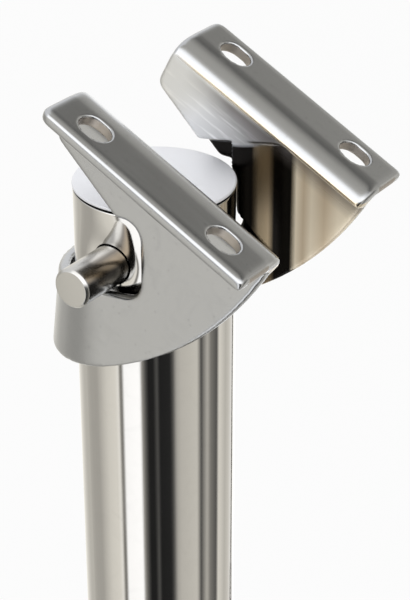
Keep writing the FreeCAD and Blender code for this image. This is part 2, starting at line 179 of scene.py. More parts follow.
def grid_faces(rows: int, columns: int, wrap_rows: bool) -> np.ndarray:
    """Quads of a grid of points numbered row by row, where each row closes on itself.

    Args:
        rows: number of rows.
        columns: number of points in a row.
        wrap_rows: whether the last row joins the first.

    Returns:
        Array of shape (n, 4) of point numbers.
    """
    i, j = np.meshgrid(np.arange(rows - (not wrap_rows)), np.arange(columns), indexing="ij")
    here, above = i * columns, (i + 1) % rows * columns
    after = (j + 1) % columns
    return np.stack([here + j, here + after, above + after, above + j], axis=-1).reshape(-1, 4)


def carried(rings: np.ndarray, capped: bool = True) -> tuple[np.ndarray, Faces]:
    """Join closed rings of points into a tube, with a face over each end if it is capped.

    Args:
        rings: array of shape (rings, points in a ring, 3).
        capped: whether the ends are closed here.

    Returns:
        Points of shape (n, 3) and faces as lists of point numbers.
    """
    rows, count, _ = rings.shape
    faces = grid_faces(rows, count, False).tolist()
    if capped:
        faces += [list(range(count))[::-1], list(range((rows - 1) * count, rows * count))]
    return rings.reshape(-1, 3), faces


def revolved(profile: np.ndarray, segments: int, loop: bool) -> tuple[np.ndarray, Faces]:
    """Carry a profile round the Z axis: (r, h) goes to (r cos t, r sin t, h).

    Args:
        profile: array of shape (n, 2) of radius and height.
        segments: number of steps round the axis.
        loop: whether the profile closes on itself; if not, it starts and ends on the axis.

    Returns:
        Points of shape (m, 3) and faces as lists of point numbers.
    """
    turn = np.linspace(0, 2 * math.pi, segments, endpoint=False)
    body = profile if loop else profile[1:-1]
    radius, height = body[:, 0, None], body[:, 1, None]
    rings = np.broadcast_arrays(radius * np.cos(turn), radius * np.sin(turn), height)
    points = np.stack(rings, axis=-1).reshape(-1, 3)
    faces = grid_faces(len(body), segments, loop).tolist()
    if not loop:
        ring = np.arange(segments)
        after = (ring + 1) % segments
        low, high, top = len(points), len(points) + 1, (len(body) - 1) * segments
        points = np.concatenate([points, [[0, 0, profile[0, 1]], [0, 0, profile[-1, 1]]]])
        faces += np.stack([np.full(segments, low), after, ring], axis=1).tolist()
        faces += np.stack([np.full(segments, high), top + ring, top + after], axis=1).tolist()
    return points, faces


def revolved_across(profile: np.ndarray, segments: int, stile: Stile) -> tuple[np.ndarray, Faces]:
    """Carry a profile round a pin's axis: the revolved (x, y, z) goes to (x, z, -y) at the pivot.

    Args:
        profile: array of shape (n, 2) of radius and place along the pin, from axis to axis.
        segments: number of steps round the axis.
        stile: the stile that the pin goes through.

    Returns:
        Points of shape (m, 3) in the row's frame and faces as lists of point numbers.
    """
    points, faces = revolved(profile, segments, False)
    points = np.stack([points[:, 0], points[:, 2], -points[:, 1]], axis=1)
    return LAYOUT.to_row(points, LAYOUT.stile(stile)), faces


def outward(points: np.ndarray, faces: Faces) -> Faces:
    """Turn the faces of a closed surface so that they point out of it.

    The volume is the sum over triangles of corner . (corner x corner) / 6; if it is
    negative, each face is reversed.

    Args:
        points: array of shape (n, 3).
        faces: lists of point numbers.

    Returns:
        The faces, reversed or not.
    """
    fans = [(face[0], face[k], face[k + 1]) for face in faces for k in range(1, len(face) - 1)]
    a, b, c = np.moveaxis(points[np.array(fans)], 1, 0)
    volume = float(np.einsum("ij,ij->", a, np.cross(b, c)))
    return faces if volume > 0 else [face[::-1] for face in faces]


def linked(name: str, data: bpy.types.ID) -> Piece:
    """Make an object of some data in the scene, at the origin."""
    piece = bpy.data.objects.new(name, data)
    bpy.context.scene.collection.objects.link(piece)
    return piece


def smooth_object(name: str, points: np.ndarray, faces: Faces, crease: float = 35.0) -> Piece:
    """Make a mesh object that shades smoothly up to a crease angle.

    Args:
        name: name of the object.
        points: array of shape (n, 3), in metres in the row's frame.
        faces: lists of point numbers.
        crease: angle in degrees past which an edge stays sharp.

    Returns:
        The new object, at the origin.
    """
    mesh = bpy.data.meshes.new(name)
    mesh.from_pydata(points.tolist(), [], outward(points, faces))
    mesh.polygons.foreach_set("use_smooth", np.ones(len(mesh.polygons), bool))
    mesh.set_sharp_from_angle(angle=math.radians(crease))
    mesh.update()
    return linked(name, mesh)


def evaluated(piece: Piece) -> bpy.types.Mesh:
    """Give a piece the mesh that its modifiers make of it, and return that mesh."""
    bpy.context.view_layer.update()
    graph = bpy.context.evaluated_depsgraph_get()
    made = bpy.data.meshes.new_from_object(piece.evaluated_get(graph))
    piece.modifiers.clear()
    piece.data = made
    return made


def read_points(mesh: bpy.types.Mesh) -> np.ndarray:
    """The points of a mesh, of shape (n, 3)."""
    points = np.empty(len(mesh.vertices) * 3)
    mesh.vertices.foreach_get("co", points)
    return points.reshape(-1, 3)


def write_points(mesh: bpy.types.Mesh, points: np.ndarray) -> None:
    """Move the points of a mesh to new places."""
    mesh.vertices.foreach_set("co", points.ravel())
    mesh.update()


def fit_on(piece: Piece, body: str, slot: str, material: Material, *nodes: str) -> None:
    """Dress a finished piece and let it stand for its nodes.

    Args:
        piece: the finished object.
        body: the moving body that it rides on.
        slot: the name of a material slot; not used.
        material: its material.
        nodes: the nodes that it stands for.
    """
    piece.data.materials.clear()
    piece.data.materials.append(material)
    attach(piece, body)
    if nodes:
        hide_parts(*nodes)
    LOG.info("%s: %d points", piece.name, len(piece.data.vertices))


# Finishes

class Wiring:
    """Adds nodes to a shader tree. An input takes another node's output or a plain value."""

    def __init__(self, tree: bpy.types.NodeTree) -> None:
        """Work on a tree."""
        self.tree = tree

    def feed(self, node: bpy.types.Node, inputs: dict[str | int, object]) -> None:
        """Link or set some of a node's inputs, each given by name or number."""
        for key, source in inputs.items():
            if isinstance(source, Socket):
                self.tree.links.new(source, node.inputs[key])
            else:
                node.inputs[key].default_value = source

    def node(self, kind: str, inputs: dict[str | int, object], **settings: object) -> bpy.types.Node:
        """Add a node.

        Args:
            kind: its type, without the leading ShaderNode.
            inputs: what its inputs take.
            settings: its properties.

        Returns:
            The node.
        """
        node = self.tree.nodes.new(f"ShaderNode{kind}")
        for key, setting in settings.items():
            setattr(node, key, setting)
        self.feed(node, inputs)
        return node

    def maths(self, operation: str, *terms: object, clamp: bool = False) -> Socket:
        """The result of a Math node."""
        terms = dict(enumerate(terms))
        return self.node("Math", terms, operation=operation, use_clamp=clamp).outputs[0]

    def total(self, *terms: tuple[Socket, float]) -> Socket:
        """The sum of some values, each times its weight."""
        result = 0.0
        for source, weight in terms:
            result = self.maths("MULTIPLY_ADD", source, weight, result)
        return result

    def spread(self, source: object, *ends: float) -> Socket:
        """The result of a clamped Map Range node: from low, from high and, if given, to low, to high."""
        return self.node("MapRange", dict(enumerate((source, *ends)))).outputs[0]

    def along(self, vector: Socket, axis: np.ndarray) -> Socket:
        """The share of a vector along an axis."""
        inputs = {0: vector, 1: axis.tolist()}
        return self.node("VectorMath", inputs, operation="DOT_PRODUCT").outputs["Value"]

    def blend(self, part: object, low: object, high: object) -> Socket:
        """The colour between two colours."""
        low, high = (end if isinstance(end, Socket) else (*end, 1.0) for end in (low, high))
        return self.node("Mix", {"Factor": part, 6: low, 7: high}, data_type="RGBA").outputs[2]

    def ramp(self, source: Socket, stops: list[tuple[float, Triple]]) -> Socket:
        """Turn a value from 0 to 1 into a colour.

        Args:
            source: the value.
            stops: (place, colour) in rising order of place.

        Returns:
            The colour's socket.
        """
        node = self.node("ValToRGB", {"Fac": source})
        elements = node.color_ramp.elements
        elements[0].position, elements[1].position = stops[0][0], stops[-1][0]
        for place, _ in stops[1:-1]:
            elements.new(place)
        in_order = sorted(elements, key=lambda element: element.position)
        for element, (_, colour) in zip(in_order, stops):
            element.color = (*colour, 1.0)
        return node.outputs["Color"]

    def noise(self, vector: Socket, scale: Socket, detail: float, distortion: float = 0.0) -> Socket:
        """The value of a Noise Texture."""
        inputs = {"Vector": vector, "Scale": scale, "Detail": detail, "Distortion": distortion}
        return self.node("TexNoise", inputs).outputs["Fac"]

    def bump(self, height: Socket, strength: float, distance: float) -> Socket:
        """The normal of a Bump node."""
        inputs = {"Height": height, "Strength": strength, "Distance": distance}
        return self.node("Bump", inputs).outputs[0]

    def choice(self, part: Socket, low: Socket, high: Socket) -> Socket:
        """The shader between two shaders."""
        return self.node("MixShader", {0: part, 1: low, 2: high}).outputs[0]

    def place(self, turn: Triple = (0.0, 0.0, 0.0)) -> Socket:
        """The place on the object, turned about the axes by angles in degrees."""
        place = self.node("TexCoord", {}).outputs["Object"]
        if not any(turn):
            return place
        inputs = {"Vector": place, "Rotation": [math.radians(angle) for angle in turn]}
        return self.node("Mapping", inputs).outputs[0]

    def effect(self, group: bpy.types.NodeTree, vector: Socket, **numbers: float) -> dict[str, Socket]:
        """The outputs of a shared group, by name."""
        node = self.node("Group", {}, node_tree=group)
        self.feed(node, {"Vector": vector, **{key.title(): number for key, number in numbers.items()}})
        return {output.name: output for output in node.outputs}


def new_material(name: str) -> tuple[Material, Wiring, bpy.types.Node]:
    """Start a material; returns it, the wiring of its nodes and its shader."""
    material = bpy.data.materials.new(name)
    material.use_nodes = True
    return material, Wiring(material.node_tree), material.node_tree.nodes["Principled BSDF"]


class Effects:
    """The shader groups, each built once: streaks, clouds and grit."""

    def __init__(self) -> None:
        """Build the three groups."""
        self.streaks = self._streaks()
        self.clouds = self._clouds()
        self.grit = self._grit()

    @staticmethod
    def _start(name: str, numbers: tuple[str, ...], results: tuple[str, ...]) -> tuple:
        """Start a group with a vector and numbers as inputs.

        Args:
            name: name of the group.
            numbers: names of its number inputs.
            results: names of its outputs.

        Returns:
            The wiring of its nodes, the given values and the node that takes the results.
        """
        group = bpy.data.node_groups.new(name, "ShaderNodeTree")
        group.interface.new_socket(name="Vector", in_out="INPUT", socket_type="NodeSocketVector")
        for side, labels in (("INPUT", numbers), ("OUTPUT", results)):
            for label in labels:
                group.interface.new_socket(name=label, in_out=side, socket_type="NodeSocketFloat")
        given, result = group.nodes.new("NodeGroupInput"), group.nodes.new("NodeGroupOutput")
        return Wiring(group), given.outputs, result

    def _streaks(self) -> bpy.types.NodeTree:
        """Long fine lines along Z of the given vector, as left by polishing or drawing.

        Returns:
            The group, with outputs Lines (0 to 1) and Scratches (0 to 1).
        """
        numbers, results = ("Fineness", "Stretch"), ("Lines", "Scratches")
        wiring, given, result = self._start("polishing_streaks", numbers, results)
        x, y, z = wiring.node("SeparateXYZ", {0: given["Vector"]}).outputs
        squeezed = wiring.maths("MULTIPLY", z, given["Stretch"])
        vector = wiring.node("CombineXYZ", {0: x, 1: y, 2: squeezed}).outputs[0]
        coarse = wiring.noise(vector, wiring.maths("MULTIPLY", given["Fineness"], 0.37), 1.0)
        wiring.feed(result, {
            "Lines": wiring.noise(vector, given["Fineness"], 4.0),
            "Scratches": wiring.spread(coarse, 0.66, 0.74),
        })
        return wiring.tree

    def _clouds(self) -> bpy.types.NodeTree:
        """Soft uneven patches, as of handling and of an uneven polish.

        Returns:
            The group, with outputs Patches (0 to 1) and Smears (0 to 1).
        """
        wiring, given, result = self._start("polish_clouds", ("Scale",), ("Patches", "Smears"))
        wide = wiring.noise(given["Vector"], given["Scale"], 3.0, 0.6)
        narrow = wiring.noise(given["Vector"], wiring.maths("MULTIPLY", given["Scale"], 4.0), 6.0, 2.0)
        wiring.feed(result, {
            "Patches": wiring.spread(wide, 0.35, 0.65),
            "Smears": wiring.spread(narrow, 0.5, 0.75),
        })
        return wiring.tree

    def _grit(self) -> bpy.types.NodeTree:
        """Fine grain with a few small pits, as of cast skin or moulded rubber.

        Returns:
            The group, with outputs Grain (0 to 1) and Pits (0 to 1).
        """
        wiring, given, result = self._start("surface_grit", ("Scale",), ("Grain", "Pits"))
        scale = wiring.maths("MULTIPLY", given["Scale"], 0.22)
        cells = wiring.node("TexVoronoi", {"Vector": given["Vector"], "Scale": scale}, feature="F1")
        wiring.feed(result, {
            "Grain": wiring.noise(given["Vector"], given["Scale"], 3.0),
            "Pits": wiring.spread(cells.outputs["Distance"], 0.04, 0.16, 1.0, 0.0),
        })
        return wiring.tree


class Grain(Enum):
    """The way that a finish's lines run, as the turn that brings them onto Z, in degrees."""

    UP_STILE = (0.0, LAYOUT.lean, 0.0)
    ALONG_PIN = (90.0, 0.0, 0.0)
    ALONG_FLANGE = (0.0, 90.0, 0.0)


@dataclass(frozen=True)
class Metal:
    """A stainless finish: colour and roughness, and how far streaks, patches and pits change them."""

    name: str
    colour: Triple
    rough: float
    streak_rough: float
    patch_rough: float
    grain: Grain
    fineness: float
    stretch: float
    cloud: float
    tint: float
    bump: float
    pits: float = 0.0
    grit: float = 2500.0
    metallic: float = 1.0

    def make(self, effects: Effects) -> Material:
        """Build the material from the shared effects.

        Args:
            effects: the shader groups.

        Returns:
            The material.
        """
        material, wiring, shader = new_material(self.name)
        place, turned = wiring.place(), wiring.place(self.grain.value)
        streaks = wiring.effect(effects.streaks, turned, fineness=self.fineness, stretch=self.stretch)
        clouds = wiring.effect(effects.clouds, place, scale=self.cloud)
        grit = wiring.effect(effects.grit, place, scale=self.grit)
        lines, smears, pits = streaks["Lines"], clouds["Smears"], grit["Pits"]
        patches = (clouds["Patches"], self.patch_rough), (smears, self.patch_rough * 0.6)
        rough = wiring.total((lines, self.streak_rough), *patches)
        shade = wiring.total((smears, self.tint), (streaks["Scratches"], self.tint * 0.7), (pits, self.pits))
        height = wiring.total((lines, 1.0), (grit["Grain"], 0.7), (pits, self.pits * -2.0))
        wiring.feed(shader, {
            "Metallic": self.metallic,
            "Roughness": wiring.maths("ADD", rough, self.rough, clamp=True),
            "Base Color": wiring.blend(shade, self.colour, [channel * 0.45 for channel in self.colour]),
            "Normal": wiring.bump(height, self.bump, 0.0001),
        })
        return material


@dataclass(frozen=True)
class Moulded:
    """A rubber or nylon finish: colour, roughness, and the grain of its skin."""

    name: str
    colour: Triple
    rough: float
    dust: float
    bump: float
    grit: float = 1800.0
    cloud: float = 45.0

    def make(self, effects: Effects) -> Material:
        """Build the material from the shared effects.

        Args:
            effects: the shader groups.

        Returns:
            The material.
        """
        material, wiring, shader = new_material(self.name)
        place = wiring.place()
        clouds = wiring.effect(effects.clouds, place, scale=self.cloud)
        grit = wiring.effect(effects.grit, place, scale=self.grit)
        dusty = [min(1.0, channel * 2.2 + 0.02) for channel in self.colour]
        dust = wiring.maths("MULTIPLY", clouds["Patches"], self.dust)
        rough = wiring.maths("MULTIPLY", grit["Grain"], 0.2)
        height = wiring.total((grit["Grain"], 1.0), (grit["Pits"], -0.4))
        wiring.feed(shader, {
            "Specular IOR Level": 0.4,
            "Base Color": wiring.blend(dust, self.colour, dusty),
            "Roughness": wiring.maths("ADD", rough, self.rough - 0.1, clamp=True),
            "Normal": wiring.bump(height, self.bump, 0.0002),
        })
        return material


@dataclass(frozen=True)
class Patch:
    """A colour and a roughness for a zone of a finish, as far as a share."""

    zone: Zone
    colour: Triple
    rough: float
    part: float = 1.0


class Overlay(Wiring):
    """Lays other colours and roughnesses over a finish, each by a mask in the ladder's own measures.

    The measures x, across, z, up and front are in metres: along the flanges, from the stile's
    plane, above the bolting plane, up the stile and in front of its axis. A zone is a row of
    (measure, start, full) in millimetres: each mask goes from 0 at start to 1 at full.
    """

    def __init__(self, material: Material) -> None:
        """Find the finish's sockets and make the measures.

        Args:
            material: a material made by Metal.
        """
        super().__init__(material.node_tree)
        self.shader = self.tree.nodes["Principled BSDF"]
        self.colour = self.shader.inputs["Base Color"].links[0].from_socket
        self.rough = self.shader.inputs["Roughness"].links[0].from_socket
        place = self.place()
        x, y, z = self.node("SeparateXYZ", {0: place}).outputs
        off = self.maths("SUBTRACT", self.maths("ABSOLUTE", y), LAYOUT.pitch / 2 * MM)
        self.measures = {"x": x, "across": self.maths("ABSOLUTE", off), "z": z}
        for name, axis in zip(("front", "up"), LAYOUT.axes[[0, 2]]):
            pivot = float(LAYOUT.pivot() @ axis) * MM
            self.measures[name] = self.maths("SUBTRACT", self.along(place, axis), pivot)

    def within(self, zone: Zone, *parts: object) -> Socket:
        """The product of a zone's masks and of other masks or plain shares.

        Args:
            zone: the zone.
            parts: the other masks and shares.

        Returns:
            The mask's socket.
        """
        mask = None
        for measure, start, full in zone:
            low, high = sorted((start, full))
            ends = (0.0, 1.0) if start < full else (1.0, 0.0)
            past = self.spread(self.measures[measure], low * MM, high * MM, *ends)
            mask = past if mask is None else self.maths("MULTIPLY", mask, past)
        for part in parts:
            mask = self.maths("MULTIPLY", mask, part)
        return mask

    def striped(self, measure: str, stripes: Stripes) -> Socket:
        """Colours at places along a measure, in millimetres, blended from one to the next."""
        first, last = stripes[0][0], stripes[-1][0]
        place = self.spread(self.measures[measure], first * MM, last * MM)
        return self.ramp(place, [((at - first) / (last - first), colour) for at, colour in stripes])

    def dull(self, part: Socket) -> None:
        """Let the finish be partly diffuse, not bare metal, as far as the mask says; this lightens painted
        reflections.
        """
        self.feed(self.shader, {"Metallic": self.maths("SUBTRACT", 1.0, part)})

    def lay(self, part: Socket, colour: object, rough: float) -> None:
        """Lay a colour and a roughness over what is there, as far as the mask says.

        Args:
            part: the mask.
            colour: the new colour.
            rough: the new roughness.
        """
        self.colour = self.blend(part, self.colour, colour)
        change = self.maths("MULTIPLY", part, self.maths("SUBTRACT", rough, self.rough))
        self.rough = self.maths("ADD", self.rough, change)
        self.feed(self.shader, {"Base Color": self.colour, "Roughness": self.rough})

    def lay_patch(self, patch: Patch) -> None:
        """Lay a patch over its zone."""
        parts = (patch.part,) if patch.part < 1 else ()
        self.lay(self.within(patch.zone, *parts), patch.colour, patch.rough)


@dataclass(frozen=True)
class CastPaintedLightAndSlots:
    """Painted light on a saddle's finish, place by place, and the slots' own colour.

    The faces round the stile are satin above the ledge, their colour painted with reflections: pale at one
    end and grey at the other, with painted highlights along the brushed lines. Below it they are polished,
    with painted dark and golden reflections in stripes along the stile, each given by its distance in front
    of the stile's axis, and less metal on the golden ones so that they show lighter. The patches are painted
    shading and a thin painted golden reflection under the bend, the slots' rough brownish walls and a painted
    cream reflection on the notch's rim.
    """

    # Painted reflections above the ledge: pale, grey, and the painted highlight on the brushed lines.
    pale: Triple = (0.74, 0.75, 0.76)
    grey: Triple = (0.25, 0.245, 0.24)
    line: Triple = (0.93, 0.935, 0.94)
    # Painted dark and golden reflections for the stripes below the ledge.
    dark: Triple = (0.012, 0.011, 0.010)
    painted_bronze: Triple = (0.32, 0.255, 0.17)
    bright: Triple = (0.98, 0.87, 0.68)
    painted_brass: Triple = (0.72, 0.59, 0.42)
    stripes: Stripes = (
        (8.0, dark), (13.3, dark), (14.6, painted_bronze), (16.5, painted_bronze), (17.6, dark), (21.2, dark),
        (22.5, bright), (24.2, painted_brass), (26.0, bright), (28.9, painted_brass), (32.0, bright),
    )
    ledge_slope: float = 0.163
    inside: Zone = (("across", 17.4, 17.1), ("z", -2.9, -3.3))
    above: Zone = (("ledge", 15.2, 16.0),)
    below: Zone = (("ledge", 15.7, 14.9), ("front", 0.2, 1.2))
    # Where the golden painted reflections are made less metal, so that they show lighter.
    dulled_painted_reflections: Zone = (("front", 21.3, 22.5),)
    # Zones of the painted grey end and of the painted highlights on the brushed lines.
    greyed: Zone = (("x", -14.0, 2.0),)
    brushed: Zone = (("x", 4.0, -8.0), ("z", -4.0, -7.0))
    brush: Pair = (0.52, 0.70)
    brush_part: float = 0.75
    satin_rough: float = 0.34
    polish_rough: float = 0.26
    dulled_part: float = 0.8
    # Painted shading under the bend.
    shade: Patch = Patch(
        inside + (("z", -3.4, -4.0), ("z", -8.5, -4.4), ("x", -20.0, -8.0)), (0.16, 0.145, 0.14), 0.30, 0.75)
    # A thin painted golden reflection under the bend.
    painted_gold_reflection: Patch = Patch(
        (("across", 19.0, 18.0), ("z", -2.3, -2.6), ("z", -3.4, -3.1), ("x", -24.0, -17.0)),
        (0.78, 0.67, 0.50), 0.20, 0.8)
    slots: Patch = Patch(
        (("across", 19.9, 20.1), ("across", 26.4, 26.2), ("z", -0.35, -0.6)), (0.50, 0.46, 0.42), 0.50)
    # A painted cream reflection on the notch's rim.
    notch: Patch = Patch(
        (("across", 18.9, 18.6), ("across", 16.45, 16.7), ("front", 4.5, 5.5), ("front", 10.3, 9.9),
         ("up", -4.0, -2.5), ("up", 12.6, 12.0)), (0.32, 0.295, 0.25), 0.20)

    def _satin(self, over: Overlay, effects: Effects) -> Socket:
        """The painted reflections above the ledge: pale to grey along the flanges, under painted highlights on
        the brushed lines.
        """
        turned = over.place(Grain.ALONG_FLANGE.value)
        streaks = over.effect(effects.streaks, turned, fineness=900.0, stretch=0.08)
        lines = over.spread(streaks["Lines"], *self.brush, 0.0, self.brush_part)
        plain = over.blend(over.within(self.greyed), self.pale, self.grey)
        return over.blend(over.within(self.brushed, lines), plain, self.line)

    # Every patch but the slots' is painted light.
    def add_to(self, material: Material, effects: Effects) -> None:
        """Lay the painted light and the slots' colour over a casting's own finish.

        Args:
            material: a material made by Metal.
            effects: the shader groups.
        """
        over = Overlay(material)
        up, front = over.measures["up"], over.measures["front"]
        over.measures["ledge"] = over.total((up, 1.0), (front, -self.ledge_slope))
        over.lay(over.within(self.inside + self.above), self._satin(over, effects), self.satin_rough)
        # Painted reflections in stripes below the ledge, made partly diffuse where golden.
        recess = over.within(self.inside + self.below)
        over.lay(recess, over.striped("front", self.stripes), self.polish_rough)
        over.dull(over.within(self.dulled_painted_reflections, recess, self.dulled_part))
        for patch in (self.shade, self.painted_gold_reflection, self.slots, self.notch):
            over.lay_patch(patch)


@dataclass(frozen=True)
class PinPaintedReflections:
    """Painted warm dark reflections on a pin's side, each by its height across the side that shows.

    Heights are in millimetres from the pin's axis, along a line that leans back from the stile.
    """

    lean: float = 43.0
    zone: Zone = (("height", 2.6, 1.9), ("height", -3.6, -2.9), ("facing", -1.0, 1.0), ("across", 26.9, 26.5))
    part: float = 0.85
    rough: float = 0.20
    # Painted reflection colours, by height across the pin.
    stripes: Stripes = (
        (-3.6, (0.30, 0.29, 0.27)), (-2.4, (0.10, 0.09, 0.08)), (-1.5, (0.07, 0.06, 0.05)),
        (-0.6, (0.30, 0.23, 0.15)), (0.5, (0.24, 0.19, 0.13)), (1.5, (0.12, 0.105, 0.09)),
        (2.6, (0.45, 0.44, 0.42)),
    )

    def add_to(self, material: Material) -> None:
        """Lay the painted reflections over a pin's own finish.

        Args:
            material: a material made by Metal.
        """
        over = Overlay(material)
        turn = math.radians(self.lean)
        up, front = over.measures["up"], over.measures["front"]
        over.measures["height"] = over.total((up, math.cos(turn)), (front, -math.sin(turn)))
        over.measures["facing"] = over.maths("ADD", up, front)
        over.lay(over.within(self.zone, self.part), over.striped("height", self.stripes), self.rough)


@dataclass
class Finishes:
    """Every material of the ladder, built once."""

    effects: Effects = field(default_factory=Effects)
    # Painted shading for the gap between the cap and the upper tube: colour and roughness.
    seam: Triple = (0.02, 0.02, 0.02)
    seam_rough: float = 0.6

    def __post_init__(self) -> None:
        """Build the materials."""
        effects = self.effects
        self.cast = Metal(
            "cast_stainless_satin", (0.49, 0.50, 0.515), rough=0.16, streak_rough=0.06, patch_rough=0.05,
            grain=Grain.ALONG_FLANGE, fineness=900.0, stretch=0.05, cloud=55.0, tint=0.06, bump=0.03,
            pits=0.20, grit=2200.0).make(effects)
        CastPaintedLightAndSlots().add_to(self.cast, effects)
        self.tube = Metal(
            "tube_mirror_polish", (0.67, 0.66, 0.645), rough=0.035, streak_rough=0.03, patch_rough=0.03,
            grain=Grain.UP_STILE, fineness=2600.0, stretch=0.01, cloud=35.0, tint=0.05,
            bump=0.015).make(effects)
        self.pin = Metal(
            "pin_turned", (0.55, 0.545, 0.53), rough=0.20, streak_rough=0.04, patch_rough=0.01,
            grain=Grain.ALONG_PIN, fineness=700.0, stretch=6.0, cloud=90.0, tint=0.04,
            bump=0.02).make(effects)
        PinPaintedReflections().add_to(self.pin)
        self.cap = Metal(
            "cap_satin", (0.88, 0.89, 0.93), rough=0.42, streak_rough=0.08, patch_rough=0.06,
            grain=Grain.ALONG_FLANGE, fineness=1200.0, stretch=0.3, cloud=40.0, tint=0.02, bump=0.03,
            metallic=0.35).make(effects)
        # Painted shading in the gap under the cap, on the tube's top end and the cap's foot.
        for material, start, full in ((self.tube, 11.34, 11.45), (self.cap, 12.10, 11.99)):
            Overlay(material).lay_patch(Patch((("up", start, full),), self.seam, self.seam_rough))
        self.tread = Metal(
            "tread_satin", (0.58, 0.575, 0.565), rough=0.24, streak_rough=0.16, patch_rough=0.05,
            grain=Grain.ALONG_PIN, fineness=1400.0, stretch=0.01, cloud=30.0, tint=0.06,
            bump=0.05).make(effects)
        self.weld = Metal(
            "weld_bead", (0.50, 0.49, 0.47), rough=0.28, streak_rough=0.05, patch_rough=0.10,
            grain=Grain.ALONG_PIN, fineness=500.0, stretch=1.0, cloud=160.0, tint=0.35,
            bump=0.10).make(effects)
        self.bush = Moulded("nylon_black", (0.028, 0.028, 0.031), 0.42, 0.10, 0.10).make(effects)
        self.ring = Moulded("nylon_natural", (0.66, 0.65, 0.60), 0.45, 0.05, 0.06).make(effects)
        self.pad = Moulded("tread_rubber", (0.022, 0.022, 0.024), 0.62, 0.30, 0.30).make(effects)
        self.foot = Moulded("foot_rubber", (0.026, 0.026, 0.028), 0.58, 0.25, 0.25).make(effects)


# Sub-assemblies

